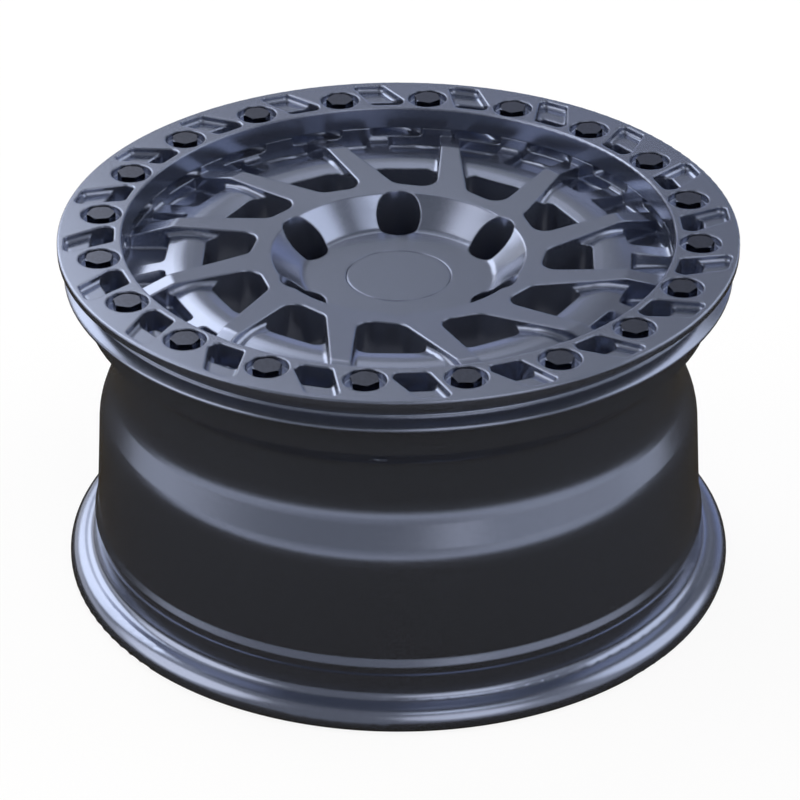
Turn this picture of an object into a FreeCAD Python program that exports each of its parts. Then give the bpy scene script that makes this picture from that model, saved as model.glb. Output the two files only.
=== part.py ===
"""Forged off-road wheel: one forging, a bolted outer ring, twenty ring bolts and a push-in centre cap.

Millimetres. The wheel lies on its inboard flange with the outboard face up: +Z runs along the axle and z = 0 is the
plane it rests on. Depths are measured down from the top face of the outer ring. In plan, a bay or a window is drawn
with y along its own radius and x clockwise of it, and is then turned to its place.
"""
import FreeCAD
import Part
import math
import os

# Rim
bead_seat_radius = 202.8
rim_width = 198.5
bead_seat_taper = 5.0
heel_round = 5.5
outboard_seat_length = 22.5
inboard_seat_length = 16.4
hump_rise_length = 5.0
hump_crown_length = 4.4
hump_fall_length = 2.1
hump_height = 0.5
hump_round = 2.0
well_drop = 17.8
well_fall_length = 15.0
well_length = 36.0
well_rise_length = 27.0
barrel_start_drop = 7.3
barrel_end_drop = 3.0
well_wall = 6.0
barrel_wall = 4.8
barrel_round = 40.0
inboard_flange_height = 16.7
inboard_flange_thickness = 14.5
inboard_curl_round = 9.7
inboard_edge_round = 4.0
rest_face_width = 11.0
edge_round = 0.9

# Outboard flange and the ring on it
flange_height = 10.9
flange_land = 2.0
flange_bevel = 4.5
flange_edge = 2.6
bolt_circle_inset = 10.8
ring_inner_reach = 15.8
ring_outer_reach = 25.1
ring_neck_reach = 14.4
ring_thickness = 14.9
ring_lip_thickness = 5.6
ring_cove_round = 4.0

# Ring bolts
bolt_count = 20
bolt_first_angle = 84.06
bolt_diameter = 10.0
bolt_length = 25.0
bolt_head_flats = 16.0
bolt_head_height = 6.4
bolt_head_proud = 0.9
bolt_head_turn = 15.0
bolt_head_chamfer = 30.0
bolt_crown_reach = 0.4
bolt_hole_clearance = 0.5
thread_clearance = 0.1
thread_run_out = 4.0
socket_room = 4.0
counterbore_round = 0.4

# Ring windows, one between each pair of bolts
window_outer_land = 4.8
window_inner_land = 5.0
window_outer_left = -21.3
window_outer_right = -0.4
window_inner_left = -7.7
window_inner_right = 12.0
window_elbow_right = 13.6
window_elbow_rise = 7.0
window_round = 4.0
ledge_depth = 4.8
ledge_round = 2.4
ledge_lip = 0.8
window_hole_length = 14.8
under_window_depth = 6.4
under_window_left = -10.0
under_window_right = 26.0
under_window_round = 4.0
under_window_fillet = 3.6
under_window_overcut = 0.05

# Hub
lug_circle_radius = 69.85
lug_count = 6
lug_pocket_radius = 14.6
lug_hole_radius = 7.25
lug_seat_radius = 12.5
lug_seat_angle = 60.0
lug_grip = 15.0
hub_edge_reach = 11.65
hub_wall_run = 19.5
hub_recess_depth = 17.5
hub_floor_round = 6.0
hub_skirt = 4.5
hub_bore_radius = 53.05
hub_bore_length = 22.0
hub_bore_step = 9.0
wheel_offset = 33.25

# Spokes: straight, all set off to the same side of the axle
spoke_count = 12
spoke_offset = 35.0
spoke_root_width = 20.8
spoke_tip_width = 12.7
spoke_step = 1.7
spoke_rise = 3.1
spoke_thickness = 35.4
spoke_end_run = 27.2
spoke_end_drop = 7.0
spoke_kink_round = 12.0
spoke_bend_round = 40.0
spoke_edge_round = 0.8

# Bays between the spokes: an opening by the hub, a web, and two pockets beside a tab at the rim
hub_rim_width = 11.1
bay_root_lean = 12.5
bay_root_round = 10.0
web_width = 23.0
web_right_round = 10.0
web_left_round = 6.5
web_lead_in = 17.0
web_inner_drop = 5.3
web_crest_run = 10.5
web_crest_drop = 4.2
web_crest_round = 40.0
web_end_drop = 4.5
web_fillet = 3.2
pocket_length = 26.2
pocket_drop = 13.4
pocket_fillet = 2.2
pocket_spoke_round = 4.5
pocket_tab_round = 4.0
tab_foot_width = 18.0
tab_taper = 22.0
tab_turn = 0.9
back_pocket_floor = 8.0
back_pocket_margin = 9.0
back_pocket_wall = 3.5
back_pocket_round = 6.0

# Valve hole, from the well's outboard slope up into one pocket
valve_hole_radius = 5.65
valve_grip = 9.0
valve_spotface_radius = 10.0
valve_bay = 6

# Centre cap and its spring wire
cap_bore_radius = 30.0
cap_seat_width = 3.4
cap_groove = 0.35
cap_thickness = 3.9
cap_lip_thickness = 8.0
cap_leg_count = 8
cap_leg_clearance = 0.6
cap_leg_wall = 2.4
cap_leg_gap = 7.0
cap_hook_height = 3.0
cap_hook_reach = 1.0
cap_hook_clearance = 0.2
spring_wire_radius = 0.8
spring_clearance = 0.1
spring_opening = 24.0

# Radii that follow from the sizes above
bolt_circle_radius = bead_seat_radius - bolt_circle_inset
ring_inner_radius = bolt_circle_radius - ring_inner_reach
ring_outer_radius = bolt_circle_radius + ring_outer_reach
ring_neck_radius = bolt_circle_radius + ring_neck_reach
flange_radius = bead_seat_radius + flange_height
flange_tip_radius = bead_seat_radius + inboard_flange_height
well_radius = bead_seat_radius - well_drop
barrel_start_radius = bead_seat_radius - barrel_start_drop
barrel_end_radius = bead_seat_radius - barrel_end_drop
hub_edge_radius = lug_circle_radius + hub_edge_reach
spoke_kink_radius = ring_inner_radius - spoke_end_run
spoke_bend_station = math.sqrt(spoke_kink_radius ** 2 - spoke_offset ** 2)
pocket_inner_radius = ring_inner_radius - pocket_length
web_inner_radius = pocket_inner_radius - web_width
window_outer_radius = ring_outer_radius - window_outer_land
window_inner_radius = ring_inner_radius + window_inner_land
ledge_inner_radius = window_inner_radius + window_hole_length
window_elbow_radius = window_inner_radius + window_elbow_rise
cap_radius = cap_bore_radius + cap_seat_width
bolt_head_corner = bolt_head_flats / math.sqrt(3)
outside_radius = ring_outer_radius + ring_inner_reach

# Depths that follow from the sizes above
flange_top_depth = ring_thickness + flange_land + flange_bevel
flange_low_depth = flange_top_depth + flange_edge
inboard_flange_depth = flange_low_depth + rim_width
face_height = inboard_flange_depth + inboard_flange_thickness
seat_end_depth = flange_low_depth + outboard_seat_length
well_start_depth = seat_end_depth + well_fall_length
well_end_depth = well_start_depth + well_length
barrel_start_depth = well_end_depth + well_rise_length
hump_end_depth = inboard_flange_depth - inboard_seat_length
barrel_end_depth = hump_end_depth - hump_fall_length - hump_crown_length - hump_rise_length
hub_face_depth = ring_thickness + spoke_step
disc_back_depth = hub_face_depth + spoke_thickness
hub_floor_depth = hub_face_depth + hub_recess_depth
hub_pad_depth = flange_low_depth + rim_width / 2 - wheel_offset
counterbore_depth = bolt_head_height - bolt_head_proud
cap_seat_depth = hub_floor_depth + cap_thickness
cap_lip_depth = cap_seat_depth + cap_lip_thickness
pocket_depth = hub_face_depth + pocket_drop

# Angles that follow from the sizes above
spoke_pitch = 360.0 / spoke_count
window_first_angle = bolt_first_angle + 180.0 / bolt_count
seat_slope = math.tan(math.radians(bead_seat_taper))

X_AXIS = FreeCAD.Vector(1, 0, 0)
Z_AXIS = FreeCAD.Vector(0, 0, 1)
ORIGIN = FreeCAD.Vector(0, 0, 0)
TOP = face_height + ring_thickness
TOUCH = 1e-3


def height(depth):
    """Height above the rest plane of a point that lies this far below the ring's top face."""
    return face_height - depth


def rounded_wire(corners):
    """Closed wire through (x, y, radius) corners, each rounded by a tangent arc."""
    points = [FreeCAD.Vector(x, y, 0) for x, y, radius in corners]
    starts = []
    middles = []
    ends = []
    for index, here in enumerate(points):
        radius = corners[index][2]
        back = (points[index - 1] - here).normalize()
        ahead = (points[(index + 1) % len(points)] - here).normalize()
        half_angle = back.getAngle(ahead) / 2
        run = radius / math.tan(half_angle)
        inward = (back + ahead).normalize()
        starts.append(here + back * run)
        middles.append(here + inward * (radius / math.sin(half_angle) - radius))
        ends.append(here + ahead * run)
    edges = []
    for index in range(len(corners)):
        if corners[index][2] > 0:
            edges.append(Part.Arc(starts[index], middles[index], ends[index]).toShape())
        following = starts[(index + 1) % len(corners)]
        if ends[index].distanceToPoint(following) > TOUCH:
            edges.append(Part.LineSegment(ends[index], following).toShape())
    return Part.Wire(edges)


def revolved(corners):
    """Solid of revolution about the axle from (radius, depth, corner radius) corners."""
    face = Part.Face(rounded_wire([(radius, height(depth), corner) for radius, depth, corner in corners]))
    face.rotate(ORIGIN, X_AXIS, 90)
    return face.revolve(ORIGIN, Z_AXIS, 360)


def prism(corners, low, high):
    """Upright prism over (x, y, corner radius) corners, between two heights."""
    face = Part.Face(rounded_wire(corners))
    face.translate(Z_AXIS * low)
    return face.extrude(Z_AXIS * (high - low))


def cylinder(radius, low, high, y=0.0):
    """Upright cylinder on the Y axis, between two heights."""
    return Part.makeCylinder(radius, high - low, FreeCAD.Vector(0, y, low))


def turned(shape, angle):
    """Copy of a shape, turned about the axle."""
    copy = shape.copy()
    copy.rotate(ORIGIN, Z_AXIS, angle)
    return copy


def around(shape, count, first=90.0):
    """Copies of a shape drawn on +Y, evenly spaced clockwise from the first angle."""
    return [turned(shape, first - 90.0 - 360.0 / count * index) for index in range(count)]


def edge_middle(edge):
    return edge.valueAt((edge.FirstParameter + edge.LastParameter) / 2)


def plan_radius(point):
    return math.hypot(point.x, point.y)


def runs_round_axle(edge):
    """True for a circle about the axle."""
    return edge.Curve.TypeId == "Part::GeomCircle" and plan_radius(edge.Curve.Center) < TOUCH


def is_hole(edge, radius):
    """True for the edge of a round hole of this radius."""
    return edge.Curve.TypeId == "Part::GeomCircle" and abs(edge.Curve.Radius - radius) < TOUCH


def round_edges(shape, radius, wanted):
    """The shape with a fillet on every edge for which wanted(edge) is true."""
    return shape.makeFillet(radius, [edge for edge in shape.Edges if wanted(edge)])


def plan_turn(point, angle):
    """Plan point turned about the axle by an angle in degrees."""
    cosine = math.cos(math.radians(angle))
    sine = math.sin(math.radians(angle))
    return (point[0] * cosine - point[1] * sine, point[0] * sine + point[1] * cosine)


def crossing(start_a, end_a, start_b, end_b):
    """Plan point where two lines cross."""
    along_a = (end_a[0] - start_a[0], end_a[1] - start_a[1])
    along_b = (end_b[0] - start_b[0], end_b[1] - start_b[1])
    between = (start_b[0] - start_a[0], start_b[1] - start_a[1])
    cross = along_a[0] * along_b[1] - along_a[1] * along_b[0]
    share = (between[0] * along_b[1] - between[1] * along_b[0]) / cross
    return (start_a[0] + share * along_a[0], start_a[1] + share * along_a[1])


# A bay lies between the spoke that points along +Y, on its right, and the next one anticlockwise, on its left


def spoke_corner(side, station, width):
    """Plan point on a spoke's edge: side is +1 for the clockwise edge and -1 for the other."""
    return (spoke_offset + side * width / 2, station)


def reach(start, onward, radius):
    """Plan point where the line from one point through another passes a radius."""
    length = math.dist(start, onward)
    along = ((onward[0] - start[0]) / length, (onward[1] - start[1]) / length)
    middle = start[0] * along[0] + start[1] * along[1]
    run = math.sqrt(middle ** 2 - math.hypot(*start) ** 2 + radius ** 2) - middle
    return (start[0] + run * along[0], start[1] + run * along[1])


def bay_side(right):
    """The bay's right or left edge: a point by the hub, the bend at the kink and a point by the rim."""
    side = -1 if right else 1
    points = [
        spoke_corner(side, hub_edge_radius, spoke_root_width),
        spoke_corner(side, spoke_bend_station, spoke_tip_width),
        spoke_corner(side, ring_inner_radius, spoke_tip_width),
    ]
    return points if right else [plan_turn(point, spoke_pitch) for point in points]


def bay_edge(right, radius):
    """Plan point where the bay's right or left edge passes a radius."""
    root, bend, tip = bay_side(right)
    if radius > math.hypot(*bend):
        return reach(bend, tip, radius)
    return reach(root, bend, radius)


def bay_root(right):
    """The bay's corner by the hub: both lie on one line that leans a little against the right spoke."""
    square = 90.0 - bay_root_lean
    foot = plan_turn((hub_edge_radius + hub_rim_width, 0), square)
    beside = plan_turn((hub_edge_radius + hub_rim_width, 1), square)
    root, bend, tip = bay_side(right)
    return crossing(root, bend, foot, beside)


def bay_corners(right, radius, outer_round):
    """Corners of one side of the bay out to a radius, with the bend where the side passes it."""
    bend = bay_side(right)[1]
    corners = [(*bend, spoke_bend_round)] if radius > math.hypot(*bend) else []
    return corners + [(*bay_edge(right, radius), outer_round)]


def bay_prism(outer_radius, right_round, left_round):
    """The bay from its roots by the hub out to a radius, right through the disc."""
    right = [(*bay_root(True), bay_root_round)] + bay_corners(True, outer_radius, right_round)
    left = [(*bay_root(False), bay_root_round)] + bay_corners(False, outer_radius, left_round)
    return prism(right + left[::-1], 0, TOP)


def face_depth(radius):
    """Depth of the spokes' faces: they rise from the hub to the kink and fall from there to the rim."""
    if radius < spoke_kink_radius:
        share = (radius - hub_edge_radius) / (spoke_kink_radius - hub_edge_radius)
        return hub_face_depth - spoke_rise * share
    share = (radius - spoke_kink_radius) / spoke_end_run
    return hub_face_depth - spoke_rise + spoke_end_drop * share


def tab_angle():
    """Angle of the tab's middle: a little anticlockwise of halfway between the two spokes where they meet the rim."""
    ends = [bay_edge(right, ring_inner_radius) for right in (True, False)]
    return sum(math.degrees(math.atan2(y, x)) for x, y in ends) / 2 + tab_turn


def web_cutter():
    """What is milled away above the web, from inside the hub-side opening to the rim's inner wall."""
    start_radius = web_inner_radius - 2 * web_lead_in
    crest_radius = web_inner_radius + web_crest_run
    inner_depth = face_depth(web_inner_radius) + web_inner_drop
    crest_depth = face_depth(crest_radius) + web_crest_drop
    rise = (inner_depth - crest_depth) / web_crest_run
    above_web = revolved([
        (start_radius, inner_depth + rise * (web_inner_radius - start_radius), 0),
        (crest_radius, crest_depth, web_crest_round),
        (ring_inner_radius, face_depth(ring_inner_radius) + web_end_drop, 0),
        (ring_inner_radius, face_height - TOP, 0),
        (start_radius, face_height - TOP, 0),
    ])
    first_radius = web_inner_radius - web_lead_in
    right = [(*bay_edge(True, first_radius), 0)] + bay_corners(True, outside_radius, 0)
    left = [(*bay_edge(False, first_radius), 0)] + bay_corners(False, outside_radius, 0)
    cutter = prism(right + left[::-1], 0, TOP).common(above_web)

    def beside_spoke_or_rim(edge):
        if edge.BoundBox.ZMax > height(crest_depth) + TOUCH:
            return False
        if runs_round_axle(edge):
            return plan_radius(edge_middle(edge)) > ring_inner_radius - TOUCH
        ends = [plan_radius(vertex.Point) for vertex in edge.Vertexes]
        return max(ends) > first_radius + TOUCH

    return round_edges(cutter, web_fillet, beside_spoke_or_rim)


def pocket_wire(right, level):
    """Outline of a pocket at a height: its side by the tab leans over the tab."""
    over = (level - height(pocket_depth)) * math.tan(math.radians(tab_taper))
    across = (tab_foot_width / 2 - over) * (1 if right else -1)
    beside, onward = (plan_turn((across, y), tab_angle() - 90.0) for y in (pocket_inner_radius, outside_radius))
    wire = rounded_wire([
        (*bay_edge(right, pocket_inner_radius), pocket_spoke_round),
        (*bay_edge(right, outside_radius), 0),
        (*reach(beside, onward, outside_radius), 0),
        (*reach(beside, onward, pocket_inner_radius), pocket_tab_round),
    ])
    wire.translate(Z_AXIS * level)
    return wire


def pocket_cutter(right):
    """A pocket at the rim, between one spoke and the tapered tab in the bay's middle."""
    floor = height(pocket_depth)
    cutter = Part.makeLoft([pocket_wire(right, level) for level in (floor, height(0))], True, True)
    cutter = cutter.common(cylinder(ring_inner_radius, 0, TOP))
    return round_edges(cutter, pocket_fillet, lambda edge: edge.BoundBox.ZMax < floor + TOUCH)


def back_pocket_cutter():
    """Lightening pocket milled into the back of the web."""
    turn = tab_angle() - 90.0
    inner_radius = web_inner_radius + back_pocket_margin
    outer_radius = ring_inner_radius - back_pocket_wall
    corners = []
    for right, radius in ((True, inner_radius), (True, outer_radius), (False, outer_radius), (False, inner_radius)):
        across, along = plan_turn(bay_edge(right, radius), -turn)
        inset = -back_pocket_wall if right else back_pocket_wall
        x, y = plan_turn((across + inset, along), turn)
        corners.append((x, y, back_pocket_round))
    return prism(corners, 0, height(pocket_depth + back_pocket_floor))


def spoke_edge_slivers():
    """The thin strips that rounding takes off the top edges of the spokes and the hub."""
    slab = 2 * spoke_edge_round
    inner_radius = hub_edge_radius - hub_wall_run
    star = revolved([
        (inner_radius, face_depth(inner_radius), 0),
        (spoke_kink_radius, face_depth(spoke_kink_radius), spoke_kink_round),
        (outside_radius, face_depth(outside_radius), 0),
        (outside_radius, face_depth(outside_radius) + slab, 0),
        (spoke_kink_radius, face_depth(spoke_kink_radius) + slab, spoke_kink_round),
        (inner_radius, face_depth(inner_radius) + slab, 0),
    ])
    star = star.cut(around(bay_prism(2 * outside_radius, 0, 0), spoke_count))

    def along_bay(edge):
        middle = edge_middle(edge)
        radius = plan_radius(middle)
        inside = inner_radius + TOUCH < radius < outside_radius - TOUCH
        on_top = abs(middle.z - height(face_depth(radius))) < slab / 4
        seam = edge.isSeam(star.ancestorsOfType(edge, Part.Face)[0])
        return inside and on_top and not runs_round_axle(edge) and not seam

    strips = star.cut(round_edges(star, spoke_edge_round, along_bay))
    return strips.common(cylinder(ring_inner_radius, 0, TOP))


def forging_blank():
    """The turned blank: barrel, flanges, disc and hub in one profile."""
    seat_end_radius = bead_seat_radius - outboard_seat_length * seat_slope
    hump_end_radius = bead_seat_radius - inboard_seat_length * seat_slope
    hump_radius = hump_end_radius + hump_height
    rest_inner_radius = flange_tip_radius - rest_face_width
    rest_low_depth = inboard_flange_depth + barrel_wall
    hub_radius = hub_edge_radius + hub_skirt
    relief_radius = hub_bore_radius - hub_bore_step
    bore_top_depth = hub_pad_depth - hub_bore_length
    return revolved([
        (ring_inner_radius, ring_thickness, 0),
        (ring_neck_radius, ring_thickness, edge_round),
        (ring_neck_radius, ring_thickness + flange_land, 0),
        (flange_radius, flange_top_depth, edge_round),
        (flange_radius, flange_low_depth, edge_round),
        (bead_seat_radius, flange_low_depth, heel_round),
        (seat_end_radius, seat_end_depth, edge_round),
        (well_radius, well_start_depth, well_wall),
        (well_radius, well_end_depth, barrel_round),
        (barrel_start_radius, barrel_start_depth, barrel_round),
        (barrel_end_radius, barrel_end_depth, hump_round),
        (hump_radius, barrel_end_depth + hump_rise_length, hump_round),
        (hump_radius, hump_end_depth - hump_fall_length, 0),
        (hump_end_radius, hump_end_depth, 0),
        (bead_seat_radius, inboard_flange_depth, heel_round),
        (flange_tip_radius, inboard_flange_depth, inboard_curl_round),
        (flange_tip_radius, face_height, inboard_edge_round),
        (rest_inner_radius, face_height, edge_round),
        (rest_inner_radius - edge_round, rest_low_depth + barrel_wall, 2 * edge_round),
        (bead_seat_radius - barrel_wall, rest_low_depth, barrel_wall),
        (barrel_end_radius - barrel_wall, barrel_end_depth, 0),
        (barrel_start_radius - barrel_wall, barrel_start_depth, barrel_round),
        (well_radius - well_wall, well_end_depth, barrel_round),
        (well_radius - well_wall, disc_back_depth, well_wall),
        (hub_radius, disc_back_depth, well_wall),
        (hub_radius, hub_pad_depth, edge_round),
        (hub_bore_radius, hub_pad_depth, 0),
        (hub_bore_radius, bore_top_depth, 0),
        (relief_radius, bore_top_depth, 0),
        (relief_radius, cap_lip_depth, 0),
        (cap_bore_radius, cap_lip_depth, 0),
        (cap_bore_radius, cap_seat_depth, 0),
        (cap_radius + cap_groove, cap_seat_depth, 0),
        (cap_radius + cap_groove, hub_floor_depth, cap_groove),
        (hub_edge_radius - hub_wall_run, hub_floor_depth, hub_floor_round),
        (hub_edge_radius, hub_face_depth, edge_round),
        (spoke_kink_radius, face_depth(spoke_kink_radius), spoke_kink_round),
        (ring_inner_radius, face_depth(ring_inner_radius), 0),
    ])


def lug_cutter():
    """Socket pocket, conical nut seat and stud hole."""
    seat_length = (lug_seat_radius - lug_hole_radius) / math.tan(math.radians(lug_seat_angle / 2))
    seat_low = height(hub_pad_depth - lug_grip)
    seat_high = seat_low + seat_length
    base = FreeCAD.Vector(0, lug_circle_radius, seat_low)
    seat = Part.makeCone(lug_hole_radius, lug_seat_radius, seat_length, base)
    pocket = cylinder(lug_pocket_radius, seat_high, TOP, lug_circle_radius)
    hole = cylinder(lug_hole_radius, 0, seat_high, lug_circle_radius)
    return hole.fuse([seat, pocket])


def valve_cutter():
    """Valve hole square to the well's outboard slope, with a wide way in from the pocket in front."""
    slope_top = FreeCAD.Vector(0, bead_seat_radius - outboard_seat_length * seat_slope, height(seat_end_depth))
    slope_foot = FreeCAD.Vector(0, well_radius, height(well_start_depth))
    middle = (slope_top + slope_foot) / 2
    inward = X_AXIS.cross(slope_foot - slope_top).normalize()
    if inward.z < 0:
        inward = inward * -1
    way_length = (slope_top - slope_foot).Length + pocket_length
    hole = Part.makeCylinder(valve_hole_radius, valve_grip * 2, middle - inward * valve_grip, inward)
    way = Part.makeCylinder(valve_spotface_radius, way_length, middle + inward * valve_grip, inward)
    room = cylinder(outside_radius, 0, height(pocket_depth) + pocket_fillet)
    return hole.fuse(way).common(room)


def window_corners():
    """Plan corners of a ring window, from its outer left round by its inner edge."""
    return [
        (window_outer_left, window_outer_radius, window_round),
        (window_inner_left, window_inner_radius, window_round),
        (window_inner_right, window_inner_radius, window_round),
        (window_elbow_right, window_elbow_radius, window_round),
        (window_outer_right, window_outer_radius, window_round),
    ]


def window_hole_wire(lip_radius, level):
    """Outline of the window's deep hole, inboard of a straight lip, at a height."""
    outer_left, inner_left, inner_right, elbow, outer_right = window_corners()
    lip = [(0, lip_radius), (1, lip_radius)]
    lip_left = crossing(outer_left, inner_left, lip[0], lip[1])
    lip_right = crossing(outer_right, elbow, lip[0], lip[1])
    wire = rounded_wire([(*lip_left, window_round), inner_left, inner_right, elbow, (*lip_right, window_round)])
    wire.translate(Z_AXIS * level)
    return wire


def ring_window_cutter():
    """A slanted window: a shallow ledge outboard and a hole right through inboard, with a bevelled lip between."""
    floor = height(ledge_depth)
    ledge = prism(window_corners(), floor, TOP)
    ledge = round_edges(ledge, ledge_round, lambda edge: edge.BoundBox.ZMax < floor + TOUCH)
    low = window_hole_wire(ledge_inner_radius, floor - ledge_lip)
    high = window_hole_wire(ledge_inner_radius + ledge_lip, floor)
    lip = Part.makeLoft([low, high], True, True)
    hole = Part.Face(window_hole_wire(ledge_inner_radius, 0)).extrude(Z_AXIS * TOP)
    return ledge.fuse([lip, hole])


def under_window_cutter():
    """The window carried on into the flange below the ring, breaking out through its inner wall."""
    floor = height(ring_thickness + under_window_depth)
    cutter = prism([
        (under_window_left, pocket_inner_radius, 0),
        (under_window_right, pocket_inner_radius, 0),
        (under_window_right, ring_inner_radius, under_window_round),
        (window_elbow_right, window_elbow_radius, under_window_round),
        (0, ledge_inner_radius, under_window_round),
        (under_window_left, ledge_inner_radius, under_window_round),
    ], floor, TOP)

    def inside_flange(edge):
        return edge.BoundBox.ZMax < floor + TOUCH and edge_middle(edge).y > pocket_inner_radius + TOUCH

    cutter = round_edges(cutter, under_window_fillet, inside_flange)
    return cutter.cut(cylinder(ring_inner_radius - under_window_overcut, 0, TOP))


def wheel_forging():
    opening = bay_prism(web_inner_radius, web_right_round, web_left_round)
    bay = web_cutter().fuse([opening, pocket_cutter(True), pocket_cutter(False)])
    body = forging_blank().cut(around(bay.removeSplitter(), spoke_count))
    body = body.cut(spoke_edge_slivers())
    thread_low = height(counterbore_depth + bolt_length + thread_run_out)
    thread = cylinder(bolt_diameter / 2 + thread_clearance, thread_low, TOP, bolt_circle_radius)
    cutters = around(back_pocket_cutter(), spoke_count)
    cutters += around(lug_cutter(), lug_count)
    cutters += around(thread, bolt_count, bolt_first_angle)
    cutters += around(under_window_cutter(), bolt_count, window_first_angle)
    valve_pocket = pocket_cutter(True).Solids[0].CenterOfMass
    valve_angle = math.degrees(math.atan2(valve_pocket.y, valve_pocket.x))
    cutters.append(turned(valve_cutter(), valve_angle - 90.0 - spoke_pitch * valve_bay))
    return body.cut(cutters)


def outer_ring():
    blank = revolved([
        (ring_inner_radius, 0, 0),
        (ring_outer_radius, 0, 0),
        (ring_outer_radius, ring_lip_thickness, edge_round),
        (ring_neck_radius, ring_lip_thickness, ring_cove_round),
        (ring_neck_radius, ring_thickness, 0),
        (ring_inner_radius, ring_thickness, 0),
    ])
    counterbore_radius = bolt_head_corner + socket_room
    counterbore = cylinder(counterbore_radius, height(counterbore_depth), TOP, bolt_circle_radius)
    hole = cylinder(bolt_diameter / 2 + bolt_hole_clearance, 0, TOP, bolt_circle_radius)
    ring = blank.cut(around(ring_window_cutter(), bolt_count, window_first_angle))
    ring = round_edges(ring, edge_round, lambda edge: edge.BoundBox.ZMin > height(0) - TOUCH)
    ring = ring.cut(around(hole.fuse(counterbore), bolt_count, bolt_first_angle))

    def counterbore_mouth(edge):
        return edge.BoundBox.ZMin > height(0) - TOUCH and is_hole(edge, counterbore_radius)

    return round_edges(ring, counterbore_round, counterbore_mouth)


def ring_bolt():
    """A hex head bolt on +Y, its head chamfered all round and its tip chamfered."""
    seat = height(counterbore_depth)
    head_top = seat + bolt_head_height
    corners = [plan_turn((0, bolt_head_corner), 60 * side + bolt_head_turn) for side in range(6)]
    head = prism([(x, y, 0) for x, y in corners], seat, head_top)
    slope = math.tan(math.radians(bolt_head_chamfer))
    crown_radius = bolt_head_flats / 2 + bolt_crown_reach
    cone_height = (crown_radius + bolt_head_height / slope) * slope
    crown = Part.makeCone(crown_radius + bolt_head_height / slope, 0, cone_height, Z_AXIS * seat)
    head = head.common(crown.common(cylinder(2 * bolt_head_flats, seat, head_top)))
    shank = cylinder(bolt_diameter / 2, seat - bolt_length, seat)
    tip = seat - bolt_length + TOUCH
    shank = shank.makeChamfer(bolt_diameter / 10, [edge for edge in shank.Edges if edge.BoundBox.ZMax < tip])
    bolt = head.fuse(shank)
    bolt.translate(FreeCAD.Vector(0, bolt_circle_radius, 0))
    return bolt


def centre_cap():
    """Flat cap, flush with the hub floor, with sprung legs that hook under the bore's lip."""
    leg_outer = cap_bore_radius - cap_leg_clearance
    leg_inner = leg_outer - cap_leg_wall
    hook_top = cap_lip_depth + cap_hook_clearance
    hook_low = hook_top + cap_hook_height
    hook_outer = cap_bore_radius + cap_hook_reach
    disc = revolved([
        (0, hub_floor_depth, 0),
        (cap_radius, hub_floor_depth, cap_groove),
        (cap_radius, cap_seat_depth, 0),
        (0, cap_seat_depth, 0),
    ])
    legs = revolved([
        (leg_inner, cap_seat_depth, 0),
        (leg_outer, cap_seat_depth, 0),
        (leg_outer, hook_top, 0),
        (hook_outer, hook_top, 0),
        (leg_outer, hook_low, 0),
        (leg_inner, hook_low, 0),
    ])
    half_gap = cap_leg_gap / 2
    gap = prism([
        (-half_gap, 0, 0),
        (half_gap, 0, 0),
        (half_gap, outside_radius, 0),
        (-half_gap, outside_radius, 0),
    ], height(hook_low) - cap_hook_height, height(cap_seat_depth))
    return disc.fuse(legs.cut(around(gap, cap_leg_count)))


def cap_spring():
    """Open ring of spring wire that presses the legs outward."""
    leg_inner = cap_bore_radius - cap_leg_clearance - cap_leg_wall
    middle_radius = leg_inner - spring_clearance - spring_wire_radius
    level = height(cap_lip_depth)
    section = Part.Face(Part.Wire(Part.makeCircle(
        spring_wire_radius, FreeCAD.Vector(middle_radius, 0, level), FreeCAD.Vector(0, 1, 0))))
    spring = section.revolve(ORIGIN, Z_AXIS, 360.0 - spring_opening)
    return turned(spring, 90.0 + spring_opening / 2)


def main():
    nodes = {
        "wheel_forging": wheel_forging(),
        "outer_ring": outer_ring(),
        "ring_bolts": Part.makeCompound(around(ring_bolt(), bolt_count, bolt_first_angle)),
        "centre_cap": centre_cap(),
        "cap_spring": cap_spring(),
    }
    os.makedirs("parts", exist_ok=True)
    for name, shape in nodes.items():
        shape.exportStep("parts/" + name + ".step")
        print(name, "valid" if shape.isValid() else "NOT VALID", len(shape.Solids), round(shape.Volume))


main()
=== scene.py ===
"""Finishes, light and camera for a forged off-road wheel that lies on its inboard flange."""
import math

import bmesh
import bpy
from mathutils import Matrix, Vector

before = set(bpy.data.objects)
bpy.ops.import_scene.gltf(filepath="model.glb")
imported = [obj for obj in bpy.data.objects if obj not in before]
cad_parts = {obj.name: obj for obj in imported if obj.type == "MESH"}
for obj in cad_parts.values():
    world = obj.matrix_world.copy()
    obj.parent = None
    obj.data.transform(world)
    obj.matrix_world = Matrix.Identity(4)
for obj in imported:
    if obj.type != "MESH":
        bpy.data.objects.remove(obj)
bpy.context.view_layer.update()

bl_info = {
    "name": "Forged wheel looks",
    "version": (1, 0, 0),
    "blender": (4, 5, 0),
    "location": "3D View > Sidebar > Wheel",
    "description": "Paint, plating, studio and camera for a forged off-road wheel",
    "category": "Object",
}

MM = 0.001

# Paint: size of its cloudy patches, and how far its tone and its roughness stray from their middle
CLOUD_MM = 60.0
TONE_STRAY = 0.04
ROUGHNESS_STRAY = 0.03
# Heights of the paint's waves and flakes, and of the small dents in the bolts' plating
PEEL_HEIGHT_MM = 0.02
FLAKE_HEIGHT_MM = 0.012
DENT_HEIGHT_MM = 0.01
# Sizes of the plating's cloudy wear and of the wire's scratches
WEAR_MM = 1.5
SCRATCH_MM = 0.3

# Stage: levels of the sheets under the wheel, the board's white and the fineness of the meshes
FLOOR_LEVEL_MM = -0.2
MAT_LEVEL_MM = -0.1
INNER_MAT_LEVEL_MM = -0.05
BOARD_WHITE = 0.95
SHEET_SEGMENTS = 96
TENT_SEGMENTS = 64
TENT_RINGS = 32
SENSOR_MM = 36.0

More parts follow.
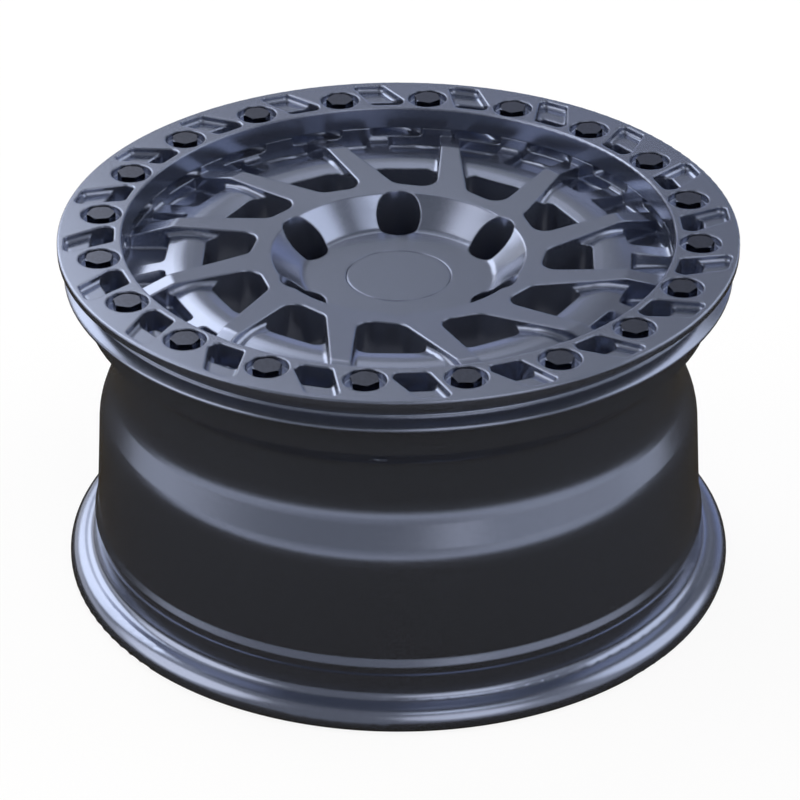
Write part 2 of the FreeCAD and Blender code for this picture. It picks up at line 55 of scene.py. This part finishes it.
# Glow of the tent's cloth by the sine of the height above the floor
TENT_GLOW = ((-1.0, 0.1), (-0.25, 0.12), (0.05, 0.4), (0.5, 0.33), (0.85, 0.33), (1.0, 0.24))

# Soft boxes behind the cloth: compass angle, height, half width and half height in degrees,
# then the softness of the rim, the strength and the tint
SOFT_BOXES = (
    (124, 35, 20, 15, 0.2, 3.2, "#ffffff"),
    (96, 43, 12, 7, 0.5, 0.8, "#ffffff"),
    (190, 33, 23, 23, 0.2, 2.3, "#fffaf4"),
    (13, 33, 22, 23, 0.2, 2.1, "#ffffff"),
    (292, 32, 18, 19, 0.25, 1.7, "#fffaf4"),
    (297, 68, 8, 6, 0.4, 2.6, "#ffffff"),
    (322, 62, 7, 6, 0.4, 1.3, "#ffffff"),
    (150, 8, 40, 12, 0.5, 0.8, "#fffaf4"),
    (320, 22, 30, 18, 0.5, 0.35, "#ffffff"),
    (72, 13, 30, 12, 0.5, 0.45, "#86a8ff"),
    (120, 62, 28, 14, 0.5, 0.4, "#ffffff"),
    (108, 26, 20, 14, 0.6, 0.2, "#ffffff"),
)
# Reach of a soft box towards the wheel: deep enough that only the distance sideways shapes it
SOFT_BOX_DEPTH = 4.0


def linear(hex_colour):
    """Linear red, green and blue of an sRGB hex colour."""
    channels = [int(hex_colour[place:place + 2], 16) / 255 for place in (1, 3, 5)]
    return tuple(c / 12.92 if c <= 0.04045 else ((c + 0.055) / 1.055) ** 2.4 for c in channels)


def add_node(tree, kind, values=None, links=None, **settings):
    """Add a node: settings are its own, values go on its inputs, links feed its inputs from outputs."""
    node = tree.nodes.new(kind)
    for name, setting in settings.items():
        setattr(node, name, setting)
    for name, value in (values or {}).items():
        node.inputs[name].default_value = value
    for name, source in (links or {}).items():
        tree.links.new(source, node.inputs[name])
    return node


def new_material(name):
    """An empty node material, its node tree and the socket that takes its surface."""
    material = bpy.data.materials.new(name)
    material.use_nodes = True
    material.node_tree.nodes.clear()
    output = add_node(material.node_tree, "ShaderNodeOutputMaterial")
    return material, material.node_tree, output.inputs["Surface"]


def per_metre(size_mm):
    """Texture scale that gives cells of a size in millimetres on an object in metres."""
    return 1.0 / (size_mm * MM)


def direction(azimuth, elevation):
    """Unit vector at a compass angle, anticlockwise from +X, and a height above the floor, in radians."""
    flat = math.cos(elevation)
    return Vector((flat * math.cos(azimuth), flat * math.sin(azimuth), math.sin(elevation)))


class WheelFinish(bpy.types.PropertyGroup):
    """Colours and grain of the finishes."""
    paint: bpy.props.FloatVectorProperty(
        name="Paint", description="Anthracite metallic paint of the forging, the ring and the cap",
        size=3, min=0, max=1, subtype="COLOR", default=linear("#767e93"))
    bolt_black: bpy.props.FloatVectorProperty(
        name="Bolt black", description="Dark metal of the ring bolts' plating",
        size=3, min=0, max=1, subtype="COLOR", default=linear("#474c5b"))
    spring_steel: bpy.props.FloatVectorProperty(
        name="Spring steel", description="Bright wire of the cap's spring",
        size=3, min=0, max=1, subtype="COLOR", default=linear("#b9bbbd"))
    paint_roughness: bpy.props.FloatProperty(
        name="Paint roughness", description="Roughness of the satin paint",
        min=0, max=1, subtype="FACTOR", default=0.2)
    flake_mm: bpy.props.FloatProperty(
        name="Flake", description="Width of a metallic flake as drawn, in millimetres",
        min=0.05, default=0.7)
    edge_mm: bpy.props.FloatProperty(
        name="Broken edge", description="Radius of the tumbled edges under the paint, in millimetres",
        min=0.0, default=1.8)
    peel_mm: bpy.props.FloatProperty(
        name="Orange peel", description="Width of a wave of the sprayed surface, in millimetres",
        min=0.2, default=2.5)


class WheelStudio(bpy.types.PropertyGroup):
    """Camera, floor and light tent."""
    camera_distance: bpy.props.FloatProperty(
        name="Camera distance", description="From the camera to the axle, along the floor",
        unit="LENGTH", default=1.9144)
    camera_height: bpy.props.FloatProperty(
        name="Camera height", description="From the floor to the camera", unit="LENGTH", default=1.2458)
    camera_tilt: bpy.props.FloatProperty(
        name="Camera tilt", description="Angle between straight down and the camera's view",
        subtype="ANGLE", default=math.radians(59.315))
    camera_yaw: bpy.props.FloatProperty(
        name="Camera yaw", description="Turn of the camera about the upright",
        subtype="ANGLE", default=math.radians(-0.03))
    camera_lens: bpy.props.FloatProperty(
        name="Focal length", description="In millimetres, on a sensor 36 mm wide", default=152.6)
    floor_radius: bpy.props.FloatProperty(
        name="Floor radius", description="Radius of the pale floor", unit="LENGTH", default=9.0)
    tent_radius: bpy.props.FloatProperty(
        name="Tent radius", description="Radius of the light tent", unit="LENGTH", default=5.0)
    mat_radius: bpy.props.FloatProperty(
        name="Mat radius", description="Radius of the dark mat that the wheel's barrel mirrors",
        unit="LENGTH", default=0.9)
    # Glow of the hidden sheet under the wheel: a painted dark reflection that the barrel mirrors
    mat_colour: bpy.props.FloatVectorProperty(
        name="Mat colour", description="Dark felt that the wheel's barrel mirrors",
        size=3, min=0, max=1, subtype="COLOR", default=linear("#38301f"))
    inner_mat_radius: bpy.props.FloatProperty(
        name="Inner mat radius", description="Radius of the cream mat inside the barrel",
        unit="LENGTH", default=0.195)
    # Glow of the hidden sheet inside the barrel: painted light that the barrel's inner wall mirrors and is
    # lit by
    inner_mat_colour: bpy.props.FloatVectorProperty(
        name="Inner mat colour", description="Cream felt that the inside of the barrel mirrors",
        size=3, min=0, max=1, subtype="COLOR", default=linear("#f4e3c3"))
    shadow_share: bpy.props.FloatProperty(
        name="Shadow", description="Share of the floor's white that the wheel's shadow can take away",
        min=0, max=1, subtype="FACTOR", default=0.12)


def metallic_paint(name, finish):
    """Satin anthracite metallic paint, sprayed on machined aluminium.

    Aluminium flakes under a clear binder: a cool grey that goes from near black to white with what it
    mirrors, a fine glitter, and the slow waves of a sprayed coat. A real flake is about 0.05 mm, too fine
    to show, so it is drawn coarser.
    """
    material, tree, surface = new_material(name)
    place = add_node(tree, "ShaderNodeTexCoord").outputs["Object"]
    flakes = add_node(
        tree, "ShaderNodeTexVoronoi", {"Scale": per_metre(finish.flake_mm)}, {"Vector": place}, feature="F1")
    flake_channels = add_node(tree, "ShaderNodeSeparateColor", links={"Color": flakes.outputs["Color"]})
    flake_tone = flake_channels.outputs["Red"]
    waves = add_node(
        tree, "ShaderNodeTexNoise", {"Scale": per_metre(finish.peel_mm), "Detail": 2.0}, {"Vector": place})
    clouds = add_node(
        tree, "ShaderNodeTexNoise", {"Scale": per_metre(CLOUD_MM), "Detail": 3.0}, {"Vector": place})
    tone = add_node(
        tree, "ShaderNodeMath", links={0: flake_tone, 1: clouds.outputs["Fac"]}, operation="ADD")
    shade = add_node(
        tree, "ShaderNodeMapRange",
        {"From Min": 0.2, "From Max": 1.8, "To Min": 1 - TONE_STRAY, "To Max": 1 + TONE_STRAY},
        {"Value": tone.outputs[0]})
    colour = add_node(
        tree, "ShaderNodeVectorMath", {0: tuple(finish.paint)}, {"Scale": shade.outputs[0]},
        operation="SCALE")
    roughness = add_node(
        tree, "ShaderNodeMapRange",
        {"To Min": finish.paint_roughness - ROUGHNESS_STRAY,
         "To Max": finish.paint_roughness + ROUGHNESS_STRAY},
        {"Value": flake_tone})
    broken_edges = add_node(tree, "ShaderNodeBevel", {"Radius": finish.edge_mm * MM}, samples=4)
    peel = add_node(
        tree, "ShaderNodeBump", {"Strength": 0.12, "Distance": PEEL_HEIGHT_MM * MM},
        {"Height": waves.outputs["Fac"], "Normal": broken_edges.outputs["Normal"]})
    glitter = add_node(
        tree, "ShaderNodeBump", {"Strength": 0.06, "Distance": FLAKE_HEIGHT_MM * MM},
        {"Height": flake_tone, "Normal": peel.outputs["Normal"]})
    paint = add_node(
        tree, "ShaderNodeBsdfPrincipled", {"Metallic": 0.86, "Coat Weight": 0.1, "Coat Roughness": 0.12},
        {"Base Color": colour.outputs[0], "Roughness": roughness.outputs[0],
         "Normal": glitter.outputs["Normal"]})
    tree.links.new(paint.outputs["BSDF"], surface)
    return material


def black_plating(finish):
    """Black zinc plating on cold-headed steel: a dark glossy metal, faintly cloudy."""
    material, tree, surface = new_material("black_zinc_plated_steel")
    place = add_node(tree, "ShaderNodeTexCoord").outputs["Object"]
    clouds = add_node(
        tree, "ShaderNodeTexNoise", {"Scale": per_metre(WEAR_MM), "Detail": 4.0}, {"Vector": place})
    wear = clouds.outputs["Fac"]
    shade = add_node(tree, "ShaderNodeMapRange", {"To Min": 0.8, "To Max": 1.25}, {"Value": wear})
    colour = add_node(
        tree, "ShaderNodeVectorMath", {0: tuple(finish.bolt_black)}, {"Scale": shade.outputs[0]},
        operation="SCALE")
    roughness = add_node(tree, "ShaderNodeMapRange", {"To Min": 0.12, "To Max": 0.24}, {"Value": wear})
    dents = add_node(
        tree, "ShaderNodeBump", {"Strength": 0.2, "Distance": DENT_HEIGHT_MM * MM}, {"Height": wear})
    plating = add_node(
        tree, "ShaderNodeBsdfPrincipled", {"Metallic": 1.0},
        {"Base Color": colour.outputs[0], "Roughness": roughness.outputs[0],
         "Normal": dents.outputs["Normal"]})
    tree.links.new(plating.outputs["BSDF"], surface)
    return material


def drawn_wire(finish):
    """Spring steel wire, drawn bright: a clean metal with fine scratches."""
    material, tree, surface = new_material("drawn_spring_steel")
    place = add_node(tree, "ShaderNodeTexCoord").outputs["Object"]
    scratches = add_node(
        tree, "ShaderNodeTexNoise", {"Scale": per_metre(SCRATCH_MM), "Detail": 3.0}, {"Vector": place})
    roughness = add_node(
        tree, "ShaderNodeMapRange", {"To Min": 0.2, "To Max": 0.4}, {"Value": scratches.outputs["Fac"]})
    wire = add_node(
        tree, "ShaderNodeBsdfPrincipled", {"Base Color": (*finish.spring_steel, 1.0), "Metallic": 1.0},
        {"Roughness": roughness.outputs[0]})
    tree.links.new(wire.outputs["BSDF"], surface)
    return material


def dress(node, material):
    """Give a CAD node its finish."""
    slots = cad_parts[node].data.materials
    if not slots:
        raise RuntimeError(node + " has no material slot")
    for index in range(len(slots)):
        slots[index] = material


class WHEEL_OT_paint_forging(bpy.types.Operator):
    """Paint the forging"""
    bl_idname = "wheel.paint_forging"
    bl_label = "Paint forging"

    def execute(self, context):
        finish = context.scene.wheel_finish
        dress("wheel_forging", metallic_paint("satin_anthracite_paint_on_forging", finish))
        return {"FINISHED"}


class WHEEL_OT_paint_ring(bpy.types.Operator):
    """Paint the outer ring"""
    bl_idname = "wheel.paint_ring"
    bl_label = "Paint outer ring"

    def execute(self, context):
        finish = context.scene.wheel_finish
        dress("outer_ring", metallic_paint("satin_anthracite_paint_on_ring", finish))
        return {"FINISHED"}


class WHEEL_OT_finish_cap(bpy.types.Operator):
    """Paint the centre cap and finish its spring wire"""
    bl_idname = "wheel.finish_cap"
    bl_label = "Finish centre cap"

    def execute(self, context):
        finish = context.scene.wheel_finish
        dress("centre_cap", metallic_paint("satin_anthracite_paint_on_cap", finish))
        dress("cap_spring", drawn_wire(finish))
        return {"FINISHED"}


class WHEEL_OT_plate_bolts(bpy.types.Operator):
    """Plate the ring bolts black"""
    bl_idname = "wheel.plate_bolts"
    bl_label = "Plate ring bolts"

    def execute(self, context):
        dress("ring_bolts", black_plating(context.scene.wheel_finish))
        return {"FINISHED"}


def tent_material():
    """White cloth of a light tent: a soft glow, brighter where the soft boxes stand behind it."""
    material, tree, surface = new_material("light_tent_cloth")
    place = add_node(tree, "ShaderNodeTexCoord").outputs["Object"]
    outward = add_node(tree, "ShaderNodeVectorMath", links={0: place}, operation="NORMALIZE").outputs[0]
    height = add_node(tree, "ShaderNodeSeparateXYZ", links={0: outward}).outputs["Z"]
    share_of_height = add_node(tree, "ShaderNodeMapRange", {"From Min": -1.0}, {"Value": height})
    cloth = add_node(tree, "ShaderNodeValToRGB", links={"Fac": share_of_height.outputs[0]})
    stops = cloth.color_ramp.elements
    for sine, glow in TENT_GLOW[1:-1]:
        stops.new((sine + 1) / 2)
    for stop, (sine, glow) in zip(stops, TENT_GLOW):
        stop.color = (glow, glow, glow, 1.0)
    light = cloth.outputs["Color"]
    for azimuth, elevation, half_width, half_height, rim, strength, tint in SOFT_BOXES:
        turn = math.radians(azimuth)
        aim = direction(turn, math.radians(elevation))
        across = direction(turn + math.pi / 2, 0.0)
        turned = Matrix((across, aim.cross(across), aim)).transposed().to_euler()
        reach = (math.radians(half_width), math.radians(half_height), SOFT_BOX_DEPTH)
        local = add_node(
            tree, "ShaderNodeMapping", {"Location": aim, "Rotation": turned, "Scale": reach},
            {"Vector": outward}, vector_type="TEXTURE")
        off_centre = add_node(
            tree, "ShaderNodeVectorMath", links={0: local.outputs[0]}, operation="LENGTH")
        share = add_node(
            tree, "ShaderNodeMapRange",
            {"From Min": 1 + rim, "From Max": 1 - rim, "To Max": strength},
            {"Value": off_centre.outputs["Value"]}, interpolation_type="SMOOTHSTEP")
        glow = add_node(
            tree, "ShaderNodeVectorMath", {0: linear(tint)}, {"Scale": share.outputs[0]},
            operation="SCALE")
        both = add_node(
            tree, "ShaderNodeVectorMath", links={0: light, 1: glow.outputs[0]}, operation="ADD")
        light = both.outputs[0]
    lit = add_node(tree, "ShaderNodeEmission", links={"Color": light})
    tree.links.new(lit.outputs["Emission"], surface)
    # The tent is all round, so rays find it without being aimed at it, and the render is quicker
    material.cycles.emission_sampling = "NONE"
    return material


def seen_directly(tree):
    """1 for rays that show the background: from the camera, off gloss and through glass."""
    path = add_node(tree, "ShaderNodeLightPath")
    shows = path.outputs["Is Camera Ray"]
    for ray in ("Is Glossy Ray", "Is Transmission Ray"):
        either = add_node(
            tree, "ShaderNodeMath", links={0: shows, 1: path.outputs[ray]}, operation="MAXIMUM")
        shows = either.outputs[0]
    return shows


def floor_material(studio):
    """Matt white board: nearly all of its white shows as it is, and the rest takes the wheel's shadow."""
    material, tree, surface = new_material("matt_white_board")
    shows = seen_directly(tree)
    share = add_node(
        tree, "ShaderNodeMath", {1: 1.0 - studio.shadow_share}, {0: shows}, operation="MULTIPLY")
    board = add_node(tree, "ShaderNodeBsdfDiffuse", {"Color": (BOARD_WHITE, BOARD_WHITE, BOARD_WHITE, 1.0)})
    white = add_node(tree, "ShaderNodeEmission", {"Strength": 1.0})
    mixed = add_node(
        tree, "ShaderNodeMixShader",
        links={"Fac": share.outputs[0], 1: board.outputs["BSDF"], 2: white.outputs["Emission"]})
    tree.links.new(mixed.outputs["Shader"], surface)
    return material


def glow_sheet_material(name, colour):
    """A sheet that glows with its own colour, though it is no lamp: painted light that the wheel mirrors,
    seen from above only, so that the floor under it keeps its light.
    """
    material, tree, surface = new_material(name)
    glowing_sheet = add_node(tree, "ShaderNodeEmission", {"Color": (*colour, 1.0)})
    clear = add_node(tree, "ShaderNodeBsdfTransparent")
    below = add_node(tree, "ShaderNodeNewGeometry").outputs["Backfacing"]
    one_sided = add_node(
        tree, "ShaderNodeMixShader",
        links={"Fac": below, 1: glowing_sheet.outputs["Emission"], 2: clear.outputs["BSDF"]})
    tree.links.new(one_sided.outputs["Shader"], surface)
    return material


def stage_mesh(name, build, material):
    """A stage object from a bmesh."""
    mesh = bpy.data.meshes.new(name)
    shape = bmesh.new()
    build(shape)
    shape.to_mesh(mesh)
    shape.free()
    mesh.materials.append(material)
    piece = bpy.data.objects.new(name, mesh)
    bpy.context.scene.collection.objects.link(piece)
    return piece


def round_sheet(name, radius, level_mm, material):
    """A flat round stage object at a level."""
    sheet = stage_mesh(
        name,
        lambda shape: bmesh.ops.create_circle(
            shape, cap_ends=True, segments=SHEET_SEGMENTS, radius=radius),
        material)
    sheet.location.z = level_mm * MM
    return sheet


class WHEEL_OT_set_stage(bpy.types.Operator):
    """Set up the floor, the mats, the light tent and the camera"""
    bl_idname = "wheel.set_stage"
    bl_label = "Set stage"

    def execute(self, context):
        scene = context.scene
        studio = scene.wheel_studio
        round_sheet("floor", studio.floor_radius, FLOOR_LEVEL_MM, floor_material(studio))
        tent = stage_mesh(
            "light_tent",
            lambda shape: bmesh.ops.create_uvsphere(
                shape, u_segments=TENT_SEGMENTS, v_segments=TENT_RINGS, radius=studio.tent_radius),
            tent_material())
        tent.visible_camera = False
        tent.visible_shadow = False
        # Sheets that glow, hidden from the camera and from shadows: the dim one under the wheel paints the
        # dark reflection in the barrel, the cream one inside the barrel paints light on the barrel's inner
        # wall
        mats = (
            ("floor_mat", studio.mat_radius, MAT_LEVEL_MM, studio.mat_colour),
            ("inner_mat", studio.inner_mat_radius, INNER_MAT_LEVEL_MM, studio.inner_mat_colour),
        )
        for name, radius, level_mm, colour in mats:
            mat = round_sheet(name, radius, level_mm, glow_sheet_material(name + "_felt", colour))
            mat.visible_camera = False
            mat.visible_shadow = False
        world = bpy.data.worlds.new("white_background")
        world.use_nodes = True
        world.node_tree.nodes.clear()
        sky = add_node(
            world.node_tree, "ShaderNodeBackground", {"Color": (1.0, 1.0, 1.0, 1.0)},
            {"Strength": seen_directly(world.node_tree)})
        add_node(world.node_tree, "ShaderNodeOutputWorld", links={"Surface": sky.outputs["Background"]})
        scene.world = world
        camera = bpy.data.cameras.new("camera")
        camera.sensor_width = SENSOR_MM
        camera.lens = studio.camera_lens
        viewer = bpy.data.objects.new("camera", camera)
        viewer.location = (0.0, -studio.camera_distance, studio.camera_height)
        viewer.rotation_euler = (studio.camera_tilt, 0.0, studio.camera_yaw)
        scene.collection.objects.link(viewer)
        scene.camera = viewer
        scene.view_settings.view_transform = "Standard"
        return {"FINISHED"}


OPERATORS = (
    WHEEL_OT_paint_forging,
    WHEEL_OT_paint_ring,
    WHEEL_OT_finish_cap,
    WHEEL_OT_plate_bolts,
    WHEEL_OT_set_stage,
)


class WHEEL_PT_looks(bpy.types.Panel):
    """Buttons for each piece and for the stage"""
    bl_idname = "WHEEL_PT_looks"
    bl_label = "Forged wheel"
    bl_space_type = "VIEW_3D"
    bl_region_type = "UI"
    bl_category = "Wheel"

    def draw(self, context):
        for group in (context.scene.wheel_finish, context.scene.wheel_studio):
            for name in group.__annotations__:
                self.layout.prop(group, name)
        for operator in OPERATORS:
            self.layout.operator(operator.bl_idname)


CLASSES = (WheelFinish, WheelStudio, *OPERATORS, WHEEL_PT_looks)


def register():
    for item in CLASSES:
        bpy.utils.register_class(item)
    bpy.types.Scene.wheel_finish = bpy.props.PointerProperty(type=WheelFinish)
    bpy.types.Scene.wheel_studio = bpy.props.PointerProperty(type=WheelStudio)


def unregister():
    del bpy.types.Scene.wheel_studio
    del bpy.types.Scene.wheel_finish
    for item in reversed(CLASSES):
        bpy.utils.unregister_class(item)


def main():
    register()
    bpy.ops.wheel.paint_forging()
    bpy.ops.wheel.paint_ring()
    bpy.ops.wheel.finish_cap()
    bpy.ops.wheel.plate_bolts()
    bpy.ops.wheel.set_stage()


if __name__ == "__main__":
    main()
